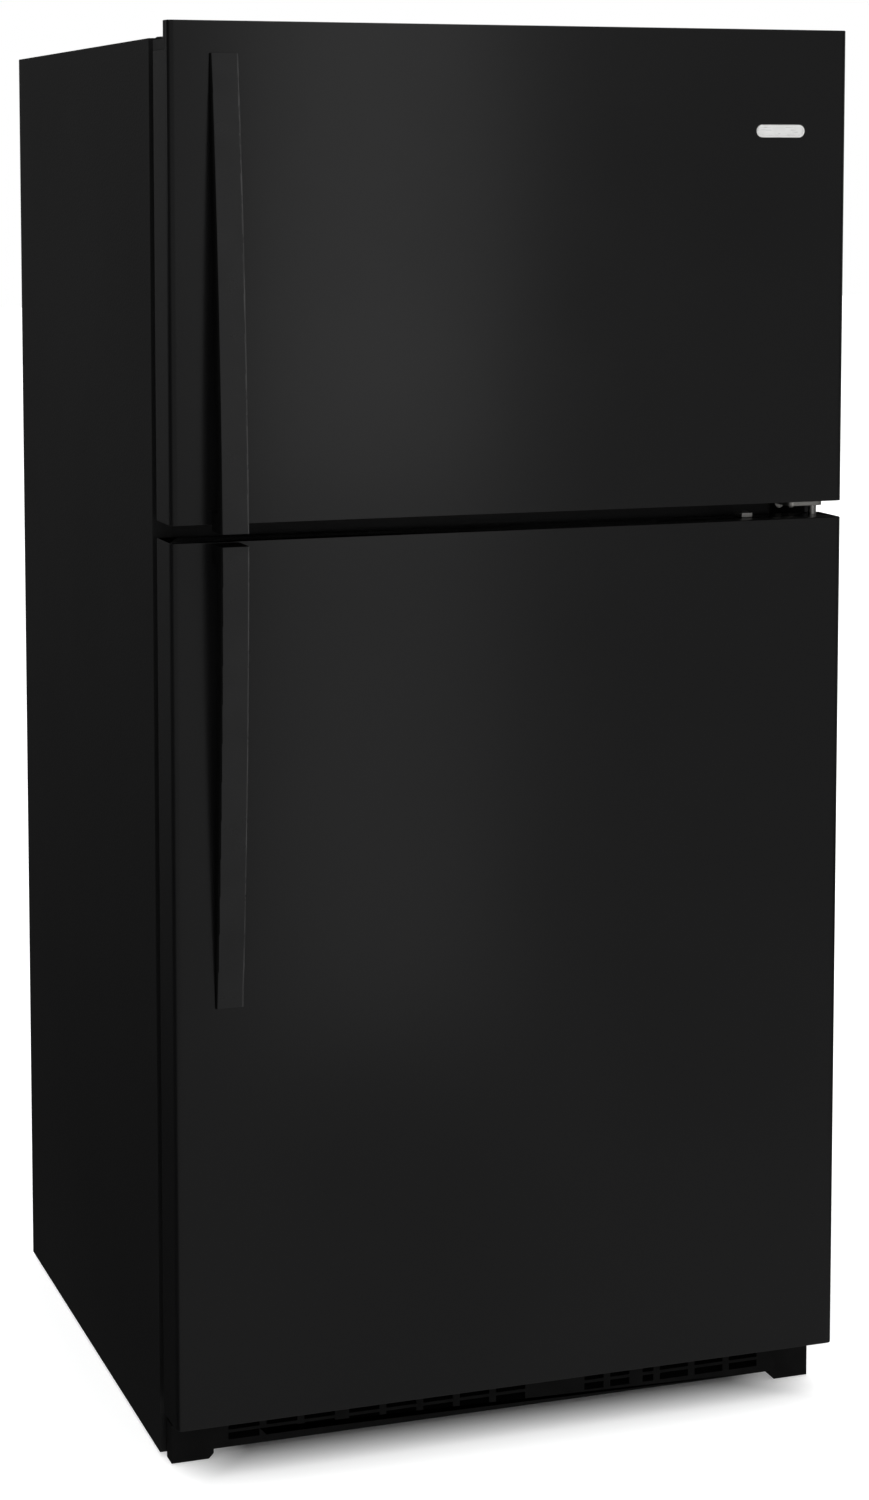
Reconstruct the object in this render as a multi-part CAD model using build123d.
from build123d import *
import os

os.makedirs("parts", exist_ok=True)

# A top freezer refrigerator, in millimetres: +Z up, the doors face -Y, +X to the right.
# The origin is on the floor, under the middle of the whole object, handles included.

# ---------------------------------------------------------------- outside
WIDTH = 832.0                # doors and cabinet
DOOR_TOP = 1668.0            # floor to the freezer door's top edge
BODY_DEPTH = 800.0           # door face to the cabinet's back
HANDLE_REACH = 38.0          # door face to the front of a handle
LIP_RISE = 17.0              # the freezer door's front edge stands this far above the cabinet
FREEZER_DOOR_HEIGHT = 561.0
DOOR_GAP = 20.0              # between the two doors
FRESH_DOOR_BOTTOM = 62.0     # floor to the lower door's bottom edge
CABINET_BOTTOM = 5.0         # floor to the side panels
DOOR_DEPTH = 63.0            # steel pan of a door, front to back
GASKET_GAP = 20.0            # a door's steel to the cabinet's front

# ---------------------------------------------------------------- walls and sheets
SHEET = 1.0                  # painted steel sheet
LINER = 2.5                  # plastic liners
RETURN = 24.0                # front folds of the cabinet's steel
SIDE_WALL = 50.0
CEILING_WALL = 50.0
REAR_WALL = 60.0
MULLION = 66.0               # insulated wall between the compartments
RAIL = 30.0                  # steel rail on the mullion's front
SILL = 53.0                  # lower door's bottom edge to the compartment's floor
KICK = 20.0                  # floor of the compartment to the kick strip's top
SKIRT = 50.0                 # height of the base's side skirts
SKIRT_SHEET = 2.0
MACHINE_DEPTH = 235.0        # machine compartment, inside
MACHINE_TOP = 250.0
HUMP_WALL = 45.0             # insulation around the machine compartment
GAP = 1.0                    # loose clearance between pieces that only sit together

# ---------------------------------------------------------------- doors
CORNER = 8.0                 # outside radius of a door's front corners
HEM = 24.0                   # steel folded behind a door
CAP = 20.0                   # thickness of the end caps
CAP_SHOW = 12.0              # how much of the top cap shows above the side steel
CAP_DROP = 3.0               # the top cap's rear part lies this far below the cabinet's top
LIP = 18.0                   # thickness of the top cap's front lip
GASKET_EDGE = 6.0            # door edge to gasket, top and bottom
GASKET_WIDTH = 14.0
SEAL_CLEARANCE = 0.3         # gasket to cabinet
DYKE_WIDTH = 28.0            # raised rim moulded into a door's inner face
DYKE_REACH = 40.0            # how far the rim enters the compartment
DYKE_CLEARANCE = 18.0        # rim to the compartment's walls
BIN_REACH = 100.0            # how far the door bins enter the compartment
BIN_HEIGHT = 90.0
BIN_WALL = 3.0
BIN_RADIUS = 8.0
REST = 8.0                   # moulded rests under shelves and bins
FREEZER_BINS = 2
FRESH_BINS = 3               # the top one is the dairy bin

# ---------------------------------------------------------------- handles
HANDLE_LENGTH = 532.0
HANDLE_WIDTH = 33.0
HANDLE_FROM_EDGE = 48.0
HANDLE_BAR = 13.0            # thickness of the bar
HANDLE_LEG = 22.0            # length of the leg that meets the door
HANDLE_TIP = 3.0             # thickness of the far end
HANDLE_BOW = 6.5             # how far the middle stands out of a straight line
HANDLE_OVERHANG = 7.0        # the freezer handle ends below its door
HANDLE_SETBACK = 1.5         # the other handle ends just below its door's top
HANDLE_EDGE = 2.5            # edge radius

# ---------------------------------------------------------------- hinges
PIN_RADIUS = 5.0
PIN_FIT = 0.06               # radial clearance of every turning fit
PIN_REACH = 15.0
PIN_FROM_SIDE = 20.0
PIN_FROM_FACE = 41.0
STOP = (14.0, 20.0)          # width and depth of the lower door's stop
STOP_INBOARD = 98.0          # the stop's left side to the hinge pin
LEAF = 4.0                   # thickness of the hinge plates
CENTRE_LEAF = 7.0            # thickness of the centre hinge's plate
LEAF_INBOARD = 38.0          # plate width from the pin towards the middle
LEAF_OUTBOARD = 9.0          # and towards the side
LEAF_NOSE = 13.0             # plate ahead of the pin
LEAF_RUN = 90.0              # top plate's length along the cabinet
COVER_WALL = 2.0
COVER_HEIGHT = 15.0
SCREW_RADIUS = 2.5
SCREW_HEAD = 5.5
SCREW_HEAD_HEIGHT = 3.5
SCREW_LENGTH = 14.0
SCREW_FIT = 0.2

# ---------------------------------------------------------------- inside fittings
SHELF_GAP = 12.0             # door bins to the front edge of the shelves
SHELF_BACK = 25.0            # shelf to the rear wall
SHELF = 14.0                 # thickness of a shelf frame
SHELF_RIM = 24.0
GLASS = 4.0
GLASS_SEAT = 8.0             # width of the rebate that holds the glass
GLASS_FIT = 0.5
DRAWER_CLEARANCE = 6.0
DRAWER_TRAVEL = 55.0
CRISPER_HEIGHT = 195.0
DELI_HEIGHT = 95.0
DRAWER_WALL = 2.5
DRAWER_FRONT = 9.0
DRAWER_PULL = 12.0           # how far the pull stands out of the drawer's front
DIVIDER = 12.0
WIRE = 2.2                   # radius of the freezer shelf's wires
CROSS_WIRE = 3.0
WIRE_PITCH = 26.0
EVAPORATOR_SPACE = 72.0      # cover to the rear wall
COVER_SHEET = 3.0
CONTROL = (320.0, 130.0, 46.0)    # width, depth and height of the control housing
KNOB_RADIUS = 17.0
KNOB_DEPTH = 14.0
KNOB_STEM = 3.0
BULB_RADIUS = 12.0
BULB_LENGTH = 90.0
SWITCH_TRAVEL = 6.0
SWITCH_RADIUS = 4.0

# ---------------------------------------------------------------- machine compartment and feet
ROLLER_RADIUS = 20.0
ROLLER_WIDTH = 16.0
ROLLER_FROM_SIDE = 48.0
ROLLER_FROM_REAR = 45.0
AXLE_RADIUS = 4.0
EAR = 3.0
LEG_FROM_SIDE = 38.0
LEG_FROM_FRONT = 25.0
LEG_RADIUS = 5.0
LEG_UP = 6.0                 # how far a levelling leg can screw upwards
FOOT_RADIUS = 16.0
FOOT_HEIGHT = 9.0
COMPRESSOR_RADIUS = 72.0
COMPRESSOR_HEIGHT = 150.0
FAN_RADIUS = 62.0
FAN_SHAFT = 2.5
FAN_BLADES = 4
BLADE_PITCH = 30.0           # degrees
BLADE_SHEET = 1.7
HUB_RADIUS = 12.5
MOTOR_RADIUS = 25.0
MOTOR_LENGTH = 23.0
GRILLE_BAR_PITCH = 12.0      # bars in front of the evaporator fan
COVER_SLOTS = 4              # air slots low in the evaporator cover, on each side
FINS = 24
FIN_TUBE = 4.0
TUBE_OFFSET = 14.0           # the tube rows to the middle of the fin pack
COIL_TUBE = 3.0
COIL_PITCH = 24.0
SHELL_PLATE = (2.4, 1.9)     # the compressor's plate, in shell radii
REAR_SLOT = 35.0
REAR_SLOT_ROWS = 5

# ---------------------------------------------------------------- toe grille
GRILLE_INSET = 7.0           # grille to the cabinet's side
GRILLE_BACK = 56.0           # door face to the grille's face
GRILLE_BOTTOM = 12.0
GRILLE_SHEET = 3.0
LEDGE = (20.0, 1.5)          # depth and thickness of the ledge behind each row of slots
BLOCK_BOTTOM = 1.0           # the grille's end blocks nearly reach the floor
BLOCK_WIDTH = 51.0
BLOCK_CHAMFER = 6.0
SLOT_HEIGHT = 8.0
SLOT_RIB = 9.0               # between slots; twice as wide between groups of slots
SLOT_ROWS = (21.0, 33.0)     # lower edges of the two rows
LONG = 37.5                  # slot widths
SHORT = 25.0
STUB = 14.0
LEFT_SLOTS = ((LONG, LONG, LONG), (LONG, LONG, LONG, LONG, LONG))      # from the left block inwards
RIGHT_SLOTS = ((LONG, LONG, LONG, STUB), (SHORT, SHORT))               # from the right block

# ---------------------------------------------------------------- worked out from the sizes above
HALF = WIDTH / 2
FACE_Y = HANDLE_REACH - (BODY_DEPTH + HANDLE_REACH) / 2
DOOR_REAR_Y = FACE_Y + DOOR_DEPTH
FRONT_Y = DOOR_REAR_Y + GASKET_GAP
REAR_Y = FACE_Y + BODY_DEPTH
CABINET_TOP = DOOR_TOP - LIP_RISE
CAP_TOP = CABINET_TOP - CAP_DROP
FREEZER_DOOR_BOTTOM = DOOR_TOP - FREEZER_DOOR_HEIGHT
FRESH_DOOR_TOP = FREEZER_DOOR_BOTTOM - DOOR_GAP
MIDDLE_Z = FREEZER_DOOR_BOTTOM - DOOR_GAP / 2
MULLION_TOP = MIDDLE_Z + MULLION / 2
MULLION_BOTTOM = MIDDLE_Z - MULLION / 2
FREEZER_CEILING = CABINET_TOP - CEILING_WALL
FRESH_FLOOR = FRESH_DOOR_BOTTOM + SILL
BASE_Z = CABINET_BOTTOM + SKIRT
INNER_HALF = HALF - SIDE_WALL
INNER_REAR = REAR_Y - REAR_WALL
MACHINE_FRONT = REAR_Y - MACHINE_DEPTH
HUMP_Y = MACHINE_FRONT - HUMP_WALL
HUMP_TOP = MACHINE_TOP + HUMP_WALL
HINGE_X = HALF - PIN_FROM_SIDE
HINGE_Y = FACE_Y + PIN_FROM_FACE
BIN_Y = FRONT_Y + BIN_REACH
SHELF_Y = BIN_Y + SHELF_GAP
SHELF_END = INNER_REAR - SHELF_BACK
DRAWER_Y = BIN_Y + DRAWER_CLEARANCE + DRAWER_TRAVEL
CRISPER_BASE = FRESH_FLOOR + 2 * GAP
CRISPER_COVER = CRISPER_BASE + CRISPER_HEIGHT + REST
CONTROL_BASE = MULLION_BOTTOM - CONTROL[2]
TIER = (CONTROL_BASE - CRISPER_COVER - SHELF) / 3
LOWER_SHELF = CRISPER_COVER + TIER
UPPER_SHELF = CRISPER_COVER + 2 * TIER
EVAPORATOR_Y = INNER_REAR - EVAPORATOR_SPACE
FREEZER_SHELF = (MULLION_TOP + FREEZER_CEILING) / 2
TRAY_Z = 2 * ROLLER_RADIUS + REST
GRILLE_Y = FACE_Y + GRILLE_BACK
GRILLE_TOP = CABINET_BOTTOM + SKIRT - 2 * LEAF
SWITCH_Z = MULLION_BOTTOM - DYKE_CLEARANCE - DYKE_WIDTH / 2
SWITCH_X = INNER_HALF - 3 * SIDE_WALL
FAN_Z = FREEZER_CEILING - FAN_RADIUS - SIDE_WALL

FREEZER_SPACE = ((-INNER_HALF, INNER_HALF), (FRONT_Y, INNER_REAR), (MULLION_TOP, FREEZER_CEILING))
FRESH_SPACE = ((-INNER_HALF, INNER_HALF), (FRONT_Y, INNER_REAR), (FRESH_FLOOR, MULLION_BOTTOM))


# ---------------------------------------------------------------- helpers
def block(x, y, z):
    """A box between (low, high) limits along each axis."""
    spans = (x, y, z)
    size = [high - low for low, high in spans]
    middle = [(high + low) / 2 for low, high in spans]
    return Pos(*middle) * Box(*size)


def centred(half):
    return (-half, half)


def outboard(side, inner, outer):
    """The X limits between two distances from the middle, on one side (-1 or 1)."""
    return tuple(sorted((side * inner, side * outer)))


def from_to(start, length):
    return (start, start + length)


def about(middle, size):
    return (middle - size / 2, middle + size / 2)


def upright(x, y, z, radius):
    """A vertical cylinder between two heights."""
    low, high = z
    return Pos(x, y, (low + high) / 2) * Cylinder(radius, high - low)


def crosswise(x, y, z, radius):
    """A cylinder along X between two ends."""
    low, high = x
    return Pos((low + high) / 2, y, z) * Rot(0, 90, 0) * Cylinder(radius, high - low)


def lengthwise(x, y, z, radius):
    """A cylinder along Y between two ends."""
    low, high = y
    return Pos(x, (low + high) / 2, z) * Rot(90, 0, 0) * Cylinder(radius, high - low)


def rounded(x, y, z, radius):
    """A box whose four upright edges are rounded."""
    width = x[1] - x[0]
    depth = y[1] - y[0]
    outline = RectangleRounded(width, depth, radius)
    prism = extrude(outline, amount=z[1] - z[0])
    return Pos((x[0] + x[1]) / 2, (y[0] + y[1]) / 2, z[0]) * prism


def shrunk(span, amount):
    return (span[0] + amount, span[1] - amount)


def tray(x, y, z, wall, radius):
    """A box open at the top, with rounded upright corners."""
    outside = rounded(x, y, z, radius)
    inside = rounded(shrunk(x, wall), shrunk(y, wall), (z[0] + wall, z[1]), radius - wall)
    return outside - inside


def both_sides(make):
    """The left and the right copy of a piece, as one shape."""
    return make(-1) + make(1)


# ---------------------------------------------------------------- cabinet
def side_panel(side):
    heights = (CABINET_BOTTOM, CABINET_TOP)
    sheet = block(outboard(side, HALF - SHEET, HALF), (FRONT_Y, REAR_Y), heights)
    fold_heights = (CABINET_BOTTOM, CABINET_TOP - SHEET)
    fold = block(outboard(side, HALF - RETURN, HALF), from_to(FRONT_Y, SHEET), fold_heights)
    return sheet + fold


def cabinet_top():
    sheet = block(centred(HALF - SHEET), (FRONT_Y, REAR_Y), (CABINET_TOP - SHEET, CABINET_TOP))
    fold = block(
        centred(HALF - RETURN), from_to(FRONT_Y, SHEET), (CABINET_TOP - RETURN, CABINET_TOP)
    )
    return sheet + fold - top_screws(SCREW_FIT)


def cabinet_back():
    return block(centred(HALF - SHEET), (REAR_Y - SHEET, REAR_Y), (MACHINE_TOP, CABINET_TOP - SHEET))


def centre_rail():
    rail = block(centred(HALF - RETURN), from_to(FRONT_Y, SHEET), about(MIDDLE_Z, RAIL))
    return rail - middle_screws(SCREW_FIT)


def base_pan():
    """The steel under and behind the insulation, with side skirts and the brackets of the legs.
    At the rear the skirts reach at least the tray that they carry."""
    width = centred(HALF - SHEET)
    floor = block(width, (FRONT_Y, MACHINE_FRONT), from_to(BASE_Z, SHEET))
    riser = block(width, (MACHINE_FRONT - SHEET, MACHINE_FRONT), (BASE_Z, MACHINE_TOP))
    ceiling = block(width, (MACHINE_FRONT - SHEET, REAR_Y), (MACHINE_TOP - SHEET, MACHINE_TOP))
    kick = block(centred(HALF - RETURN), from_to(FRONT_Y, SHEET), (BASE_Z, FRESH_FLOOR - KICK))
    floor -= block(outboard(-1, HALF - RETURN, HALF), from_to(FRONT_Y, SHEET), from_to(BASE_Z, SHEET))
    floor -= block(outboard(1, HALF - RETURN, HALF), from_to(FRONT_Y, SHEET), from_to(BASE_Z, SHEET))

    def skirt(side):
        inner = HALF - SHEET - SKIRT_SHEET
        thickness = outboard(side, inner, HALF - SHEET)
        plate = block(thickness, (FRONT_Y + LINER, REAR_Y - LINER), (CABINET_BOTTOM, BASE_Z))
        rear_top = max(BASE_Z, TRAY_Z + EAR)
        plate += block(thickness, (MACHINE_FRONT, REAR_Y - LINER), (CABINET_BOTTOM, rear_top))
        bracket = block(
            outboard(side, HALF - LEG_FROM_SIDE - FOOT_RADIUS, inner),
            about(FRONT_Y + LEG_FROM_FRONT, 2 * FOOT_RADIUS),
            (FOOT_HEIGHT + LEG_UP + 2 * LEG_RADIUS, BASE_Z)
        )
        hole = upright(
            side * (HALF - LEG_FROM_SIDE), FRONT_Y + LEG_FROM_FRONT,
            (CABINET_BOTTOM, BASE_Z), LEG_RADIUS + PIN_FIT
        )
        return plate + bracket - hole

    return floor + riser + ceiling + kick + both_sides(skirt)


def liner_outside(space):
    x, y, z = space
    return block((x[0] - LINER, x[1] + LINER), (y[0], y[1] + LINER), (z[0] - LINER, z[1] + LINER))


def fresh_outside():
    hump = block(
        centred(HALF), (HUMP_Y + LINER, REAR_Y), (FRESH_FLOOR - 2 * LINER, HUMP_TOP - LINER)
    )
    return liner_outside(FRESH_SPACE) - hump


def fresh_inside():
    hump = block(centred(HALF), (HUMP_Y, REAR_Y), (FRESH_FLOOR, HUMP_TOP))
    return block(*FRESH_SPACE) - hump


def shelf_rests(top, end):
    """A pair of moulded ledges that carry a shelf."""
    def ledge(side):
        return block(
            outboard(side, INNER_HALF - REST, INNER_HALF), (SHELF_Y + REST, end), (top - REST, top)
        )
    return both_sides(ledge)


def freezer_liner():
    flange = block(
        centred(HALF - RETURN), from_to(FRONT_Y, LINER), (MIDDLE_Z + RAIL / 2, CABINET_TOP - RETURN)
    )
    walls = liner_outside(FREEZER_SPACE) + flange - block(*FREEZER_SPACE)
    return walls + shelf_rests(FREEZER_SHELF - CROSS_WIRE, EVAPORATOR_Y - GAP)


def fresh_food_liner():
    flange = block(
        centred(HALF - RETURN), from_to(FRONT_Y, LINER), (FRESH_FLOOR - KICK, MIDDLE_Z - RAIL / 2)
    )
    walls = fresh_outside() + flange - fresh_inside()
    for top in (CRISPER_COVER, LOWER_SHELF, UPPER_SHELF):
        walls += shelf_rests(top, SHELF_END)
    return walls


def cabinet_foam():
    """Foamed in place: it fills everything between the steel and the liners."""
    bulk = block(
        centred(HALF - SHEET), (FRONT_Y + LINER, REAR_Y - SHEET), (BASE_Z + SHEET, CABINET_TOP - SHEET)
    )
    machine = block(centred(HALF), (MACHINE_FRONT - SHEET, REAR_Y), (BASE_Z, MACHINE_TOP))
    hollow = bulk - machine - liner_outside(FREEZER_SPACE) - fresh_outside()
    return hollow - top_screws(SCREW_FIT) - middle_screws(SCREW_FIT)


# ---------------------------------------------------------------- hinges and their screws
def screw_down(x, y, z, fit):
    """A screw that goes down into a face at height z; fit widens it into its own hole."""
    shank = upright(x, y, (z - SCREW_LENGTH - fit, z), SCREW_RADIUS + fit)
    head = upright(x, y, from_to(z, SCREW_HEAD_HEIGHT), SCREW_HEAD + fit)
    return shank + head


def screw_back(x, y, z, fit):
    """A screw that goes backwards into a face at y."""
    shank = lengthwise(x, (y, y + SCREW_LENGTH + fit), z, SCREW_RADIUS + fit)
    head = lengthwise(x, (y - SCREW_HEAD_HEIGHT, y), z, SCREW_HEAD + fit)
    return shank + head


def top_screws(fit):
    """The screws that hold the top hinge on the cabinet."""
    screws = []
    for step in (1, 2):
        for x in (HINGE_X, HINGE_X - LEAF_INBOARD / 2):
            y = FRONT_Y + step * LEAF_RUN / 3
            screws.append(screw_down(x, y, CABINET_TOP + LEAF, fit))
    return Part() + screws


def middle_screws(fit):
    """The screws that hold the centre hinge on the mullion."""
    screws = []
    for x in (HINGE_X - LEAF_INBOARD + 2 * SCREW_HEAD, HINGE_X - 2 * SCREW_HEAD):
        screws.append(screw_back(x, FRONT_Y - LEAF, MIDDLE_Z, fit))
    return Part() + screws


def pin(z):
    return upright(HINGE_X, HINGE_Y, z, PIN_RADIUS)


def leaf(y_end, z):
    """A hinge plate that runs forward from the cabinet to the pin, with rounded front corners."""
    x = (HINGE_X - LEAF_INBOARD, HINGE_X + LEAF_OUTBOARD)
    plate = block(x, (HINGE_Y - LEAF_NOSE, y_end), z)
    nose = plate.edges().filter_by(Axis.Z).group_by(Axis.Y)[0]
    return fillet(nose, LEAF_OUTBOARD - GAP)


def top_hinge():
    plate = leaf(FRONT_Y + LEAF_RUN, from_to(CABINET_TOP, LEAF))
    return plate + pin((CAP_TOP - PIN_REACH, CABINET_TOP + LEAF)) - top_screws(SCREW_FIT)


def top_hinge_cover():
    """A shell over the top hinge, open underneath."""
    x = (HINGE_X - LEAF_INBOARD - 2 * COVER_WALL, HINGE_X + LEAF_OUTBOARD)
    y = (FRONT_Y + GAP, FRONT_Y + LEAF_RUN + 3 * COVER_WALL)
    z = from_to(CABINET_TOP, COVER_HEIGHT)
    outside = rounded(x, y, z, 2 * COVER_WALL)
    crown = outside.edges().group_by(Axis.Z)[-1]
    outside = fillet(crown, COVER_WALL + GAP)
    inside_x = (x[0] + COVER_WALL, HINGE_X + LEAF_OUTBOARD)
    inside = block(inside_x, (y[0] - GAP, y[1] - COVER_WALL), (z[0], z[1] - COVER_WALL))
    return outside - inside


def centre_hinge():
    """A plate in the gap between the doors, with a pin up into one and a pin down into the other."""
    top = FREEZER_DOOR_BOTTOM - GAP
    plate = leaf(FRONT_Y, (top - CENTRE_LEAF, top))
    upper = pin((MIDDLE_Z, FREEZER_DOOR_BOTTOM + PIN_REACH))
    lower = pin((FRESH_DOOR_TOP - PIN_REACH, MIDDLE_Z))
    foot = block(
        (HINGE_X - LEAF_INBOARD, HINGE_X + LEAF_OUTBOARD), (FRONT_Y - LEAF, FRONT_Y),
        about(MIDDLE_Z, RAIL - 2 * GAP)
    )
    return plate + upper + lower + foot - middle_screws(SCREW_FIT)


def bottom_hinge():
    height = (FRESH_DOOR_BOTTOM - 2 * LEAF, FRESH_DOOR_BOTTOM - LEAF)
    plate = leaf(FRONT_Y, height)
    foot = block(
        (HINGE_X - LEAF_INBOARD, HINGE_X + LEAF_OUTBOARD), (FRONT_Y - LEAF, FRONT_Y),
        (BASE_Z - SKIRT / 2, height[1])
    )
    return plate + foot + pin((height[0], FRESH_DOOR_BOTTOM + PIN_REACH))


# ---------------------------------------------------------------- doors
def pan_inside(bottom, top):
    """What exactly fills a door's steel pan between two heights."""
    prism = block(centred(HALF - SHEET), (FACE_Y + SHEET, DOOR_REAR_Y - SHEET), (bottom, top))
    front = prism.edges().filter_by(Axis.Z).group_by(Axis.Y)[0]
    return fillet(front, CORNER - SHEET)


def door_panel(bottom, top, side_top):
    """The folded steel pan: face, sides and rear hems; the face may rise above the sides."""
    prism = block(centred(HALF), (FACE_Y, DOOR_REAR_Y), (bottom, top))
    outside = fillet(prism.edges().filter_by(Axis.Z).group_by(Axis.Y)[0], CORNER)
    opening = block(centred(HALF - HEM), (DOOR_REAR_Y - SHEET, DOOR_REAR_Y), (bottom, top))
    above_sides = block(centred(HALF), (FACE_Y + CORNER, DOOR_REAR_Y), (side_top, top + SHEET))
    panel = outside - pan_inside(bottom, top) - opening
    return panel - above_sides if top > side_top else panel


def pin_hole(z):
    return upright(HINGE_X, HINGE_Y, z, PIN_RADIUS + PIN_FIT)


def bottom_cap(bottom):
    return pan_inside(bottom, bottom + CAP) - pin_hole((bottom, bottom + PIN_REACH + GAP))


def fresh_top_cap():
    return pan_inside(FRESH_DOOR_TOP - CAP, FRESH_DOOR_TOP) - pin_hole(
        (FRESH_DOOR_TOP - PIN_REACH - GAP, FRESH_DOOR_TOP)
    )


def freezer_top_cap():
    """The cap that shows above the side steel, low at the rear for the hinge, high at the front."""
    side_top = CAP_TOP - CAP_SHOW
    inside = pan_inside(side_top - CAP / 2, CAP_TOP)
    shoulder = block(centred(HALF), (FACE_Y + CORNER, DOOR_REAR_Y), (side_top, CAP_TOP))
    behind_face = pan_inside(CAP_TOP, DOOR_TOP) & block(
        centred(HALF), (FACE_Y, FACE_Y + CORNER), (CAP_TOP, DOOR_TOP)
    )
    lip = block(centred(HALF), (FACE_Y + CORNER, FACE_Y + LIP), (CAP_TOP, DOOR_TOP))
    hole = pin_hole((CAP_TOP - PIN_REACH - GAP, CAP_TOP))
    return inside + shoulder + behind_face + lip - hole


def rim(space, inset):
    """The raised rim on a door's inner face, made to clear the walls of its compartment."""
    x = shrunk(space[0], DYKE_CLEARANCE + inset)
    z = shrunk(space[2], DYKE_CLEARANCE + inset)
    width = DYKE_WIDTH - 2 * inset
    y = (DOOR_REAR_Y, FRONT_Y + DYKE_REACH - inset)
    return block(x, y, z) - block(shrunk(x, width), y, shrunk(z, width))


def door_foam(space, bottom, top):
    """bottom and top are the heights of the caps' inner faces."""
    bulk = pan_inside(bottom, top)
    behind = block(centred(HALF - HEM), (DOOR_REAR_Y - SHEET, DOOR_REAR_Y), (bottom, top))
    return bulk + behind + rim(space, LINER)


def door_liner(space, bottom, top):
    """The moulded inner face, with a rest under each bin; its edge lies under the gasket."""
    x, z = gasket_outline(bottom, top)
    sheet = block(x, from_to(DOOR_REAR_Y, LINER), z)
    liner = sheet + rim(space, 0) - rim(space, LINER)
    inner = INNER_HALF - DYKE_CLEARANCE - DYKE_WIDTH
    y = (DOOR_REAR_Y + LINER, FRONT_Y + DYKE_REACH)
    for base in bin_levels(space):
        for side in (-1, 1):
            liner += block(outboard(side, inner - REST, inner), y, (base - REST, base))
    return liner


def gasket_outline(bottom, top):
    """The X and Z limits of a door's gasket."""
    return centred(HINGE_X - GAP), (bottom + GASKET_EDGE, top - GASKET_EDGE)


def gasket(bottom, top):
    x, z = gasket_outline(bottom, top)
    y = (DOOR_REAR_Y + LINER, FRONT_Y - SEAL_CLEARANCE)
    return block(x, y, z) - block(shrunk(x, GASKET_WIDTH), y, shrunk(z, GASKET_WIDTH))


def bin_levels(space):
    """Heights of the bins' floors, evenly spread over the inside of the door's rim."""
    count = FREEZER_BINS if space is FREEZER_SPACE else FRESH_BINS
    low = space[2][0] + DYKE_CLEARANCE + DYKE_WIDTH + REST
    high = space[2][1] - DYKE_CLEARANCE - DYKE_WIDTH
    return [low + step * (high - low) / count for step in range(count)]


def door_bin(base, height):
    half = INNER_HALF - DYKE_CLEARANCE - DYKE_WIDTH - GAP
    y = (DOOR_REAR_Y + LINER + GAP, BIN_Y)
    return tray(centred(half), y, (base, base + height), BIN_WALL, BIN_RADIUS)


def dairy_cover():
    """A clear lid that turns up about its rear edge, at the door."""
    base = bin_levels(FRESH_SPACE)[-1]
    half = INNER_HALF - DYKE_CLEARANCE - DYKE_WIDTH - GAP - 2 * BIN_WALL
    low = base + BIN_HEIGHT + GAP
    top = block(centred(half), (LID_Y, BIN_Y), (low, low + BIN_WALL))
    barrel = crosswise(centred(half), LID_Y, low + BIN_WALL, BIN_WALL)
    nib = block(centred(BIN_REACH / 2), (BIN_Y - 2 * BIN_WALL, BIN_Y), (low, low + 3 * BIN_WALL))
    return top + barrel + nib


# ---------------------------------------------------------------- handles
def handle(near_z, away):
    """A bowed bar in the plane of the door's edge: its leg is at near_z, its thin end lies on the
    door; away is 1 if it runs up from the leg and -1 if it runs down."""
    def at(along, out):
        return (0, FACE_Y - out, near_z + away * along)

    middle_out = (HANDLE_REACH + HANDLE_TIP) / 2 + HANDLE_BOW
    slope = (HANDLE_REACH - HANDLE_TIP) / HANDLE_LENGTH
    bar_end = HANDLE_LENGTH - HANDLE_LENGTH * HANDLE_BAR / (2 * HANDLE_REACH)
    bar_middle = (HANDLE_LEG + bar_end) / 2
    drop = bar_middle - HANDLE_LENGTH / 2
    inner_middle = middle_out - HANDLE_BAR - drop * slope - HANDLE_TIP / 2
    front = ThreePointArc(
        at(HANDLE_LENGTH, HANDLE_TIP), at(HANDLE_LENGTH / 2, middle_out), at(0, HANDLE_REACH)
    )
    back = ThreePointArc(
        at(HANDLE_LEG, HANDLE_REACH - HANDLE_BAR), at(bar_middle, inner_middle), at(bar_end, 0)
    )
    leg = Polyline(
        at(0, HANDLE_REACH), at(0, 0), at(HANDLE_LEG, 0), at(HANDLE_LEG, HANDLE_REACH - HANDLE_BAR)
    )
    tip = Polyline(at(bar_end, 0), at(HANDLE_LENGTH, 0), at(HANDLE_LENGTH, HANDLE_TIP))
    outline = make_face(Wire([*front.edges(), *leg.edges(), *back.edges(), *tip.edges()]))
    left = -HALF + HANDLE_FROM_EDGE
    bar = Pos(left, 0, 0) * extrude(outline, amount=HANDLE_WIDTH, dir=(1, 0, 0))
    rails = [
        edge for edge in bar.edges().filter_by(GeomType.CIRCLE)
        if edge.length > HANDLE_LENGTH and (edge @ 0.5).Y < FACE_Y - middle_out + GAP
    ]
    return fillet(rails, HANDLE_EDGE)


def door_stop():
    """A small stop that stands on the lower door's top cap."""
    x = from_to(HINGE_X - STOP_INBOARD, STOP[0])
    return block(x, about(HINGE_Y, STOP[1]), from_to(FRESH_DOOR_TOP, DOOR_GAP / 2 - LEAF))


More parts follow.
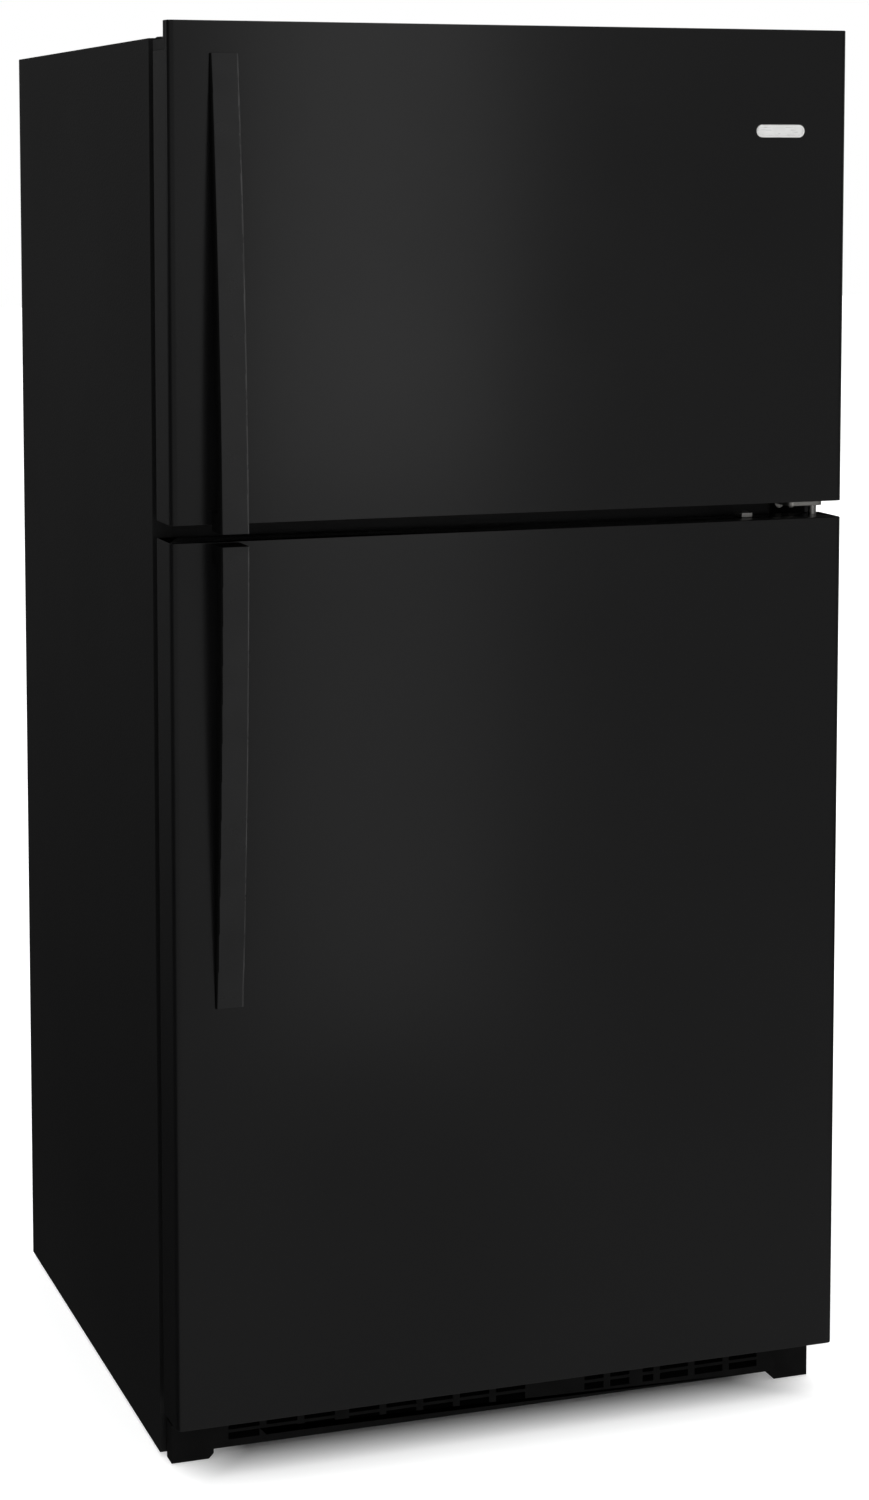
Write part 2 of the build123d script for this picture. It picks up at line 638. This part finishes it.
# ---------------------------------------------------------------- shelves and drawers
def shelf_frame(level):
    """A rim with a rebate that holds a pane of glass."""
    half = INNER_HALF - GAP
    frame = block(centred(half), (SHELF_Y, SHELF_END), from_to(level, SHELF))
    window = block(
        centred(half - SHELF_RIM), shrunk((SHELF_Y, SHELF_END), SHELF_RIM), from_to(level, SHELF)
    )
    seat = SHELF_RIM - GLASS_SEAT - GLASS_FIT
    rebate = block(
        centred(half - seat), shrunk((SHELF_Y, SHELF_END), seat),
        (level + SHELF - GLASS, level + SHELF)
    )
    return frame - window - rebate


def glass_pane(level):
    seat = SHELF_RIM - GLASS_SEAT
    return block(
        centred(INNER_HALF - GAP - seat), shrunk((SHELF_Y, SHELF_END), seat),
        (level + SHELF - GLASS, level + SHELF)
    )


def crisper_cover():
    """The shelf over the crispers, with the divider between them and its spine."""
    divider = block(
        centred(DIVIDER / 2), (DRAWER_Y, HUMP_Y - GAP), (FRESH_FLOOR + GAP, CRISPER_COVER)
    )
    spine = block(
        centred(DIVIDER / 2), (SHELF_Y, SHELF_END), from_to(CRISPER_COVER, SHELF - GLASS)
    )
    return shelf_frame(CRISPER_COVER) + spine + divider


def deli_rails():
    """Two rails under the lower shelf that carry the shallow drawer."""
    top = LOWER_SHELF
    base = top - DELI_HEIGHT - 2 * REST

    def rail(side):
        web = block(
            outboard(side, INNER_HALF - 2 * REST, INNER_HALF - REST - GAP),
            (DRAWER_Y, SHELF_END), (base, top)
        )
        ledge = block(
            outboard(side, INNER_HALF - 4 * REST, INNER_HALF - 2 * REST),
            (DRAWER_Y, SHELF_END), (base, base + BIN_WALL)
        )
        return web + ledge
    return both_sides(rail)


def lower_shelf():
    return shelf_frame(LOWER_SHELF) + deli_rails()


def drawer(x, z, back):
    """A drawer with a thicker front and a pull along the front's top edge."""
    body = tray(x, (DRAWER_Y + DRAWER_PULL, back), z, DRAWER_WALL, BIN_RADIUS)
    face = block(x, from_to(DRAWER_Y + DRAWER_PULL, DRAWER_FRONT), z)
    pull = block(
        shrunk(x, SHELF_RIM), (DRAWER_Y, DRAWER_Y + DRAWER_PULL), (z[1] - DRAWER_FRONT, z[1])
    )
    return body + face + pull


def crisper(side):
    x = outboard(side, DIVIDER / 2 + GAP, INNER_HALF - REST - GAP)
    return drawer(x, from_to(CRISPER_BASE, CRISPER_HEIGHT), HUMP_Y - 2 * GAP)


def deli_drawer():
    x = centred(INNER_HALF - 2 * REST - GAP)
    base = LOWER_SHELF - DELI_HEIGHT - 2 * REST + BIN_WALL + GAP
    return drawer(x, from_to(base, DELI_HEIGHT), SHELF_END - GAP)


def freezer_shelf():
    """Wires front to back on three cross wires."""
    half = INNER_HALF - 2 * GAP
    end = EVAPORATOR_Y - 2 * GAP
    count = int(2 * (half - WIRE) / WIRE_PITCH)
    wires = []
    for step in range(count + 1):
        x = (step - count / 2) * WIRE_PITCH
        wires.append(lengthwise(x, (SHELF_Y, end), FREEZER_SHELF + WIRE, WIRE))
    for y in (SHELF_Y + SHELF, (SHELF_Y + end) / 2, end - SHELF):
        wires.append(crosswise(centred(half), y, FREEZER_SHELF, CROSS_WIRE))
    return Part() + wires


# ---------------------------------------------------------------- cooling
def fan_blades(x, y, z):
    """A hub with pitched blades, which turns about a shaft along Y."""
    hub = lengthwise(0, centred(FAN_SHAFT * 4), 0, HUB_RADIUS)
    blade = Pos(FAN_RADIUS / 2 + FAN_SHAFT, 0, 0) * Rot(BLADE_PITCH, 0, 0) * Box(
        FAN_RADIUS - 2 * FAN_SHAFT, BLADE_SHEET, FAN_RADIUS / 2
    )
    blades = [Rot(0, turn * 360 / FAN_BLADES, 0) * blade for turn in range(FAN_BLADES)]
    wheel = (Part() + [hub, *blades]) & lengthwise(0, centred(FAN_RADIUS), 0, FAN_RADIUS)
    bore = lengthwise(0, centred(FAN_RADIUS), 0, FAN_SHAFT + PIN_FIT)
    return Pos(x, y, z) * (wheel - bore)


def fan_motor(x, y, z):
    """A motor behind its fan, with the shaft and a mounting cross."""
    shaft = lengthwise(x, (y - FAN_SHAFT * 4, y + FAN_RADIUS / 2), z, FAN_SHAFT)
    can = lengthwise(x, from_to(y + FAN_RADIUS / 3, MOTOR_LENGTH), z, MOTOR_RADIUS)
    back = y + FAN_RADIUS / 2
    bars = [
        block(about(x, 2 * FAN_RADIUS), (back, back + EAR), about(z, CAP)),
        block(about(x, CAP), (back, back + EAR), about(z, 2 * FAN_RADIUS)),
    ]
    return Part() + [shaft, can, *bars]


EVAPORATOR_FAN = (0.0, EVAPORATOR_Y + COVER_SHEET + FAN_RADIUS / 4, FAN_Z)
CONDENSER_FAN = (-FAN_RADIUS, MACHINE_FRONT + FAN_RADIUS, TRAY_Z + FAN_RADIUS + 2 * CAP)
COMPRESSOR_X = HALF - 2 * COMPRESSOR_RADIUS - REST


def evaporator_cover():
    """The freezer's rear panel, with a round grille for the fan and slots low down."""
    z = (MULLION_TOP + GAP, FREEZER_CEILING - GAP)
    plate = block(centred(INNER_HALF - GAP), from_to(EVAPORATOR_Y, COVER_SHEET), z)
    ring = lengthwise(0, from_to(EVAPORATOR_Y, COVER_SHEET), FAN_Z, FAN_RADIUS)
    count = int(FAN_RADIUS / GRILLE_BAR_PITCH)
    bars = [
        block(
            centred(FAN_RADIUS), from_to(EVAPORATOR_Y, COVER_SHEET),
            about(FAN_Z + step * GRILLE_BAR_PITCH, EAR)
        )
        for step in range(-count, count + 1)
    ]
    plate -= ring - (Part() + bars)
    for side in (-1, 1):
        for step in range(COVER_SLOTS):
            x = side * (FAN_RADIUS + step * SIDE_WALL + CAP)
            plate -= block(
                about(x, 3 * REST), from_to(EVAPORATOR_Y, COVER_SHEET),
                from_to(MULLION_TOP + 2 * CAP, REST)
            )
    return plate


def evaporator():
    """Tube runs through a pack of fins."""
    half = INNER_HALF - 2 * SIDE_WALL
    y = (EVAPORATOR_Y + CAP, INNER_REAR - REST)
    z = from_to(MULLION_TOP + CAP, 3 * SIDE_WALL)
    fins = [
        block(about((step - FINS / 2) * 2 * half / FINS, GAP), y, z) for step in range(FINS + 1)
    ]
    middle = (y[0] + y[1]) / 2
    tubes = [
        crosswise(centred(half + REST), middle + offset, z[0] + level, FIN_TUBE)
        for offset in centred(TUBE_OFFSET)
        for level in (CAP, 3 * CAP, 5 * CAP)
    ]
    ends = [block(outboard(side, half + REST, half + REST + EAR), y, z) for side in (-1, 1)]
    return Part() + [*fins, *tubes, *ends]


def compressor():
    """A welded steel shell on a plate with four feet."""
    x = COMPRESSOR_X
    y = MACHINE_FRONT + MACHINE_DEPTH / 2
    base = TRAY_Z + EAR + REST
    shell = upright(x, y, (base, base + COMPRESSOR_HEIGHT), COMPRESSOR_RADIUS)
    shell = fillet(shell.edges(), COMPRESSOR_RADIUS / 3)
    seam = upright(x, y, about(base + COMPRESSOR_HEIGHT / 2, EAR), COMPRESSOR_RADIUS + EAR)
    plate = block(
        about(x, SHELL_PLATE[0] * COMPRESSOR_RADIUS), about(y, SHELL_PLATE[1] * COMPRESSOR_RADIUS),
        (base, base + EAR)
    )
    feet = [
        upright(x + dx, y + dy, (TRAY_Z + EAR, base), REST)
        for dx in centred(COMPRESSOR_RADIUS)
        for dy in centred(COMPRESSOR_RADIUS - 2 * REST)
    ]
    return Part() + [shell, seam, plate, *feet]


def condenser_coil():
    """One tube folded up and down beside the fan."""
    left = -HALF + 2 * SIDE_WALL
    right = CONDENSER_FAN[0] - FAN_RADIUS - 2 * CAP
    low = TRAY_Z + EAR + CAP
    high = MACHINE_TOP - 2 * CAP
    y = MACHINE_FRONT + MACHINE_DEPTH / 2
    count = int((right - left) / COIL_PITCH)
    points = []
    for step in range(count + 1):
        ends = (low, high) if step % 2 == 0 else (high, low)
        points += [(left + step * COIL_PITCH, y, end) for end in ends]
    route = FilletPolyline(*points, radius=COIL_PITCH / 2 - EAR / 10)
    section = Plane(origin=points[0], z_dir=(0, 0, 1)) * Circle(COIL_TUBE)
    tube = sweep(section, path=route)
    plates = [
        block(
            (left - REST, left + count * COIL_PITCH + REST), about(y, 2 * CAP),
            from_to(level, EAR)
        )
        for level in (low + CAP, (low + high) / 2, high - CAP)
    ]
    return Part() + [tube, *plates]


def machine_tray():
    """The plate that carries the compressor, with ears and axles for the rear rollers."""
    inner = HALF - SHEET - SKIRT_SHEET
    plate = block(centred(inner), (MACHINE_FRONT + REST, REAR_Y - REST), from_to(TRAY_Z, EAR))

    def bracket(side):
        y = REAR_Y - ROLLER_FROM_REAR
        half = ROLLER_WIDTH / 2 + GAP
        middle = HALF - ROLLER_FROM_SIDE
        ears = [
            block(
                outboard(side, inner_x, inner_x + EAR), about(y, ROLLER_RADIUS),
                (ROLLER_RADIUS / 2, TRAY_Z)
            )
            for inner_x in (middle - half - EAR, middle + half)
        ]
        axle = crosswise(
            outboard(side, middle - half - EAR, middle + half + EAR), y, ROLLER_RADIUS, AXLE_RADIUS
        )
        return Part() + [*ears, axle]
    return plate + both_sides(bracket)


def roller(side):
    x = about(side * (HALF - ROLLER_FROM_SIDE), ROLLER_WIDTH)
    y = REAR_Y - ROLLER_FROM_REAR
    wheel = crosswise(x, y, ROLLER_RADIUS, ROLLER_RADIUS)
    return wheel - crosswise(x, y, ROLLER_RADIUS, AXLE_RADIUS + PIN_FIT)


def levelling_leg(side):
    x = side * (HALF - LEG_FROM_SIDE)
    y = FRONT_Y + LEG_FROM_FRONT
    foot = upright(x, y, (0, FOOT_HEIGHT), FOOT_RADIUS)
    stud = upright(x, y, (FOOT_HEIGHT, BASE_Z - LEG_UP - 2 * GAP), LEG_RADIUS)
    return foot + stud


def drain_pan():
    compressor_side = COMPRESSOR_X - SHELL_PLATE[0] * COMPRESSOR_RADIUS / 2
    x = (CONDENSER_FAN[0] + FAN_RADIUS + CAP, compressor_side - CAP)
    y = (MACHINE_FRONT + CAP, REAR_Y - 2 * CAP)
    return tray(x, y, from_to(TRAY_Z + EAR, 2 * CAP), DRAWER_WALL, REST)


def rear_cover():
    """The cover of the machine compartment, with rows of air slots and its screws' holes."""
    z = (CABINET_BOTTOM + CAP, MACHINE_TOP - GAP)
    half = HALF - SHEET - SKIRT_SHEET - GAP
    plate = block(centred(half), (REAR_Y - EAR, REAR_Y - GAP), z)
    columns = int(half / SIDE_WALL)
    for column in range(-columns + 1, columns):
        if column * SIDE_WALL > HALF - 5 * SIDE_WALL:
            continue
        for row in range(REAR_SLOT_ROWS):
            slot_z = z[0] + 3 * CAP + row * CAP
            plate -= block(
                about(column * SIDE_WALL, REAR_SLOT), (REAR_Y - EAR, REAR_Y - GAP),
                from_to(slot_z, REST)
            )
    return plate - power_inlet(SCREW_FIT)


def power_inlet(fit):
    """The gland where a supply cord would leave the machine compartment."""
    x = HALF - 3 * SIDE_WALL
    z = MACHINE_TOP - 2 * CAP
    return lengthwise(x, (REAR_Y - EAR - fit, REAR_Y - fit), z, REST + fit)


# ---------------------------------------------------------------- controls and light
CONTROL_Y = BIN_Y + 2 * SHELF_GAP
KNOB_Z = CONTROL_BASE + CONTROL[2] / 2
KNOB_XS = {"fridge": -CONTROL[0] / 4, "freezer": CONTROL[0] / 4}


def control_housing():
    """A box under the ceiling, hollow where the bulb is, with a stem for each knob."""
    width, depth = CONTROL[:2]
    box = rounded(
        centred(width / 2), from_to(CONTROL_Y, depth), (CONTROL_BASE, MULLION_BOTTOM), REST
    )
    lamp_room = block(
        centred(width / 2 - CAP), (CONTROL_Y + 2 * CAP, CONTROL_Y + depth - REST),
        (CONTROL_BASE, MULLION_BOTTOM - REST)
    )
    stems = [
        lengthwise(x, (CONTROL_Y - KNOB_DEPTH + EAR, CONTROL_Y), KNOB_Z, KNOB_STEM)
        for x in KNOB_XS.values()
    ]
    return Part() + [box - lamp_room, *stems]


def knob(x):
    """A round knob with a pointer rib, blind-bored for its stem."""
    front = CONTROL_Y - GAP / 2 - KNOB_DEPTH
    body = lengthwise(x, (front, CONTROL_Y - GAP / 2), KNOB_Z, KNOB_RADIUS)
    rib = block(
        about(x, EAR), (front - EAR, front), about(KNOB_Z, 2 * (KNOB_RADIUS - EAR))
    )
    stem_front = CONTROL_Y - KNOB_DEPTH + EAR - GAP
    bore = lengthwise(x, (stem_front, CONTROL_Y), KNOB_Z, KNOB_STEM + PIN_FIT)
    return body + rib - bore


def light_bulb():
    """A tubular bulb, lying across, in its socket."""
    y = CONTROL_Y + CONTROL[1] / 2
    z = (CONTROL_BASE + MULLION_BOTTOM - REST) / 2
    glass = crosswise(centred(BULB_LENGTH / 2), y, z, BULB_RADIUS)
    glass = fillet(glass.edges().filter_by(GeomType.CIRCLE), BULB_RADIUS / 2)
    socket_end = CONTROL[0] / 2 - CAP
    socket = crosswise((BULB_LENGTH / 2 - GAP, socket_end), y, z, BULB_RADIUS - BIN_WALL)
    return glass + socket


def light_lens():
    width, depth = CONTROL[:2]
    return block(
        centred(width / 2 - CAP), (CONTROL_Y + 2 * CAP, CONTROL_Y + depth - REST),
        (CONTROL_BASE - BIN_WALL, CONTROL_BASE)
    )


def switch_front():
    """Where the closed door's rim meets the button of the light switch."""
    return FRONT_Y + DYKE_REACH + SEAL_CLEARANCE


def switch_body():
    y = (switch_front() + SWITCH_TRAVEL + GAP, switch_front() + 2 * SIDE_WALL)
    case = block(about(SWITCH_X, 4 * REST), y, (SWITCH_Z - 2 * SWITCH_RADIUS, MULLION_BOTTOM))
    room = lengthwise(
        SWITCH_X, (y[0], switch_front() + SIDE_WALL), SWITCH_Z, SWITCH_RADIUS + PIN_FIT
    )
    return case - room


def switch_button():
    tip = switch_front()
    return lengthwise(
        SWITCH_X, (tip, tip + SIDE_WALL - SWITCH_TRAVEL - GAP), SWITCH_Z, SWITCH_RADIUS
    )


# ---------------------------------------------------------------- toe grille
def slot_spans(side, groups):
    """The X limits of the slots on one side, from its end block towards the middle."""
    reach = HALF - GRILLE_INSET - BLOCK_WIDTH
    spans = []
    for group in groups:
        reach -= SLOT_RIB
        for width in group:
            reach -= SLOT_RIB + width
            spans.append(outboard(side, reach, reach + width))
    return spans


def toe_grille():
    """A plate with two rows of slots, a ledge behind each, one on top, and an end block each side."""
    half = HALF - GRILLE_INSET
    y = from_to(GRILLE_Y, GRILLE_SHEET)
    plate = block(centred(half), y, (GRILLE_BOTTOM, GRILLE_TOP))
    for x in slot_spans(-1, LEFT_SLOTS) + slot_spans(1, RIGHT_SLOTS):
        for z in SLOT_ROWS:
            plate -= block(x, y, from_to(z, SLOT_HEIGHT))
    inner = centred(half - BLOCK_WIDTH)
    for z in SLOT_ROWS:
        plate += block(inner, from_to(GRILLE_Y, LEDGE[0]), (z - LEDGE[1], z))
    plate += block(inner, (GRILLE_Y, FRONT_Y - LEAF - GAP), (GRILLE_TOP - LEDGE[1], GRILLE_TOP))

    def end_block(side):
        post = block(
            outboard(side, half - BLOCK_WIDTH, half), (GRILLE_Y, FRONT_Y - LEAF - GAP),
            (BLOCK_BOTTOM, GRILLE_TOP)
        )
        lower = [
            edge for edge in post.edges().filter_by(Axis.Y)
            if abs((edge @ 0.5).X) < half - GAP and (edge @ 0.5).Z < GRILLE_BOTTOM
        ]
        return chamfer(lower, BLOCK_CHAMFER)
    return plate + both_sides(end_block)


# ---------------------------------------------------------------- the pieces
FREEZER_CAPS = (FREEZER_DOOR_BOTTOM + CAP, CAP_TOP - CAP_SHOW - CAP / 2)
FRESH_CAPS = (FRESH_DOOR_BOTTOM + CAP, FRESH_DOOR_TOP - CAP)
FREEZER_BACK = (FREEZER_DOOR_BOTTOM, CAP_TOP)
FRESH_BACK = (FRESH_DOOR_BOTTOM, FRESH_DOOR_TOP)
LID_Y = DOOR_REAR_Y + LINER + GAP + 2 * BIN_WALL

pieces = {
    "left_side_panel": side_panel(-1),
    "right_side_panel": side_panel(1),
    "cabinet_top": cabinet_top(),
    "cabinet_back": cabinet_back(),
    "centre_rail": centre_rail(),
    "base_pan": base_pan(),
    "cabinet_foam": cabinet_foam(),
    "freezer_liner": freezer_liner(),
    "fresh_food_liner": fresh_food_liner(),
    "top_hinge": top_hinge(),
    "top_hinge_cover": top_hinge_cover(),
    "centre_hinge": centre_hinge(),
    "bottom_hinge": bottom_hinge(),
    "hinge_screws": top_screws(0) + middle_screws(0),
    "freezer_door_panel": door_panel(FREEZER_DOOR_BOTTOM, DOOR_TOP, CAP_TOP - CAP_SHOW),
    "freezer_door_caps": bottom_cap(FREEZER_DOOR_BOTTOM) + freezer_top_cap(),
    "freezer_door_foam": door_foam(FREEZER_SPACE, *FREEZER_CAPS),
    "freezer_door_liner": door_liner(FREEZER_SPACE, *FREEZER_BACK),
    "freezer_door_gasket": gasket(*FREEZER_BACK),
    "freezer_door_handle": handle(FREEZER_DOOR_BOTTOM - HANDLE_OVERHANG, 1),
    "fresh_door_panel": door_panel(FRESH_DOOR_BOTTOM, FRESH_DOOR_TOP, FRESH_DOOR_TOP),
    "fresh_door_caps": bottom_cap(FRESH_DOOR_BOTTOM) + fresh_top_cap(),
    "fresh_door_foam": door_foam(FRESH_SPACE, *FRESH_CAPS),
    "fresh_door_liner": door_liner(FRESH_SPACE, *FRESH_BACK),
    "fresh_door_gasket": gasket(*FRESH_BACK),
    "fresh_door_handle": handle(FRESH_DOOR_TOP - HANDLE_SETBACK, -1),
    "door_stop": door_stop(),
    "dairy_cover": dairy_cover(),
    "freezer_door_bins": Part() + [door_bin(z, BIN_HEIGHT) for z in bin_levels(FREEZER_SPACE)],
    "fresh_door_bins": Part() + [door_bin(z, BIN_HEIGHT) for z in bin_levels(FRESH_SPACE)[:-1]],
    "dairy_bin": door_bin(bin_levels(FRESH_SPACE)[-1], BIN_HEIGHT),
    "shelf_frames": shelf_frame(UPPER_SHELF) + lower_shelf() + crisper_cover(),
    "shelf_glass": Part() + [glass_pane(z) for z in (CRISPER_COVER, LOWER_SHELF, UPPER_SHELF)],
    "left_crisper": crisper(-1),
    "right_crisper": crisper(1),
    "deli_drawer": deli_drawer(),
    "freezer_shelf": freezer_shelf(),
    "evaporator_cover": evaporator_cover(),
    "evaporator": evaporator(),
    "evaporator_fan": fan_blades(*EVAPORATOR_FAN),
    "compressor": compressor(),
    "condenser_coil": condenser_coil(),
    "condenser_fan": fan_blades(*CONDENSER_FAN),
    "fan_motors": fan_motor(*EVAPORATOR_FAN) + fan_motor(*CONDENSER_FAN),
    "drain_pan": drain_pan(),
    "machine_tray": machine_tray(),
    "rear_cover": rear_cover(),
    "power_inlet": power_inlet(0),
    "left_roller": roller(-1),
    "right_roller": roller(1),
    "left_levelling_leg": levelling_leg(-1),
    "right_levelling_leg": levelling_leg(1),
    "control_housing": control_housing(),
    "light_bulb": light_bulb(),
    "light_lens": light_lens(),
    "light_switch": switch_body(),
    "light_switch_button": switch_button(),
    "toe_grille": toe_grille(),
}
for name, x in KNOB_XS.items():
    pieces[f"{name}_knob"] = knob(x)

for name, piece in pieces.items():
    export_step(piece, f"parts/{name}.step")
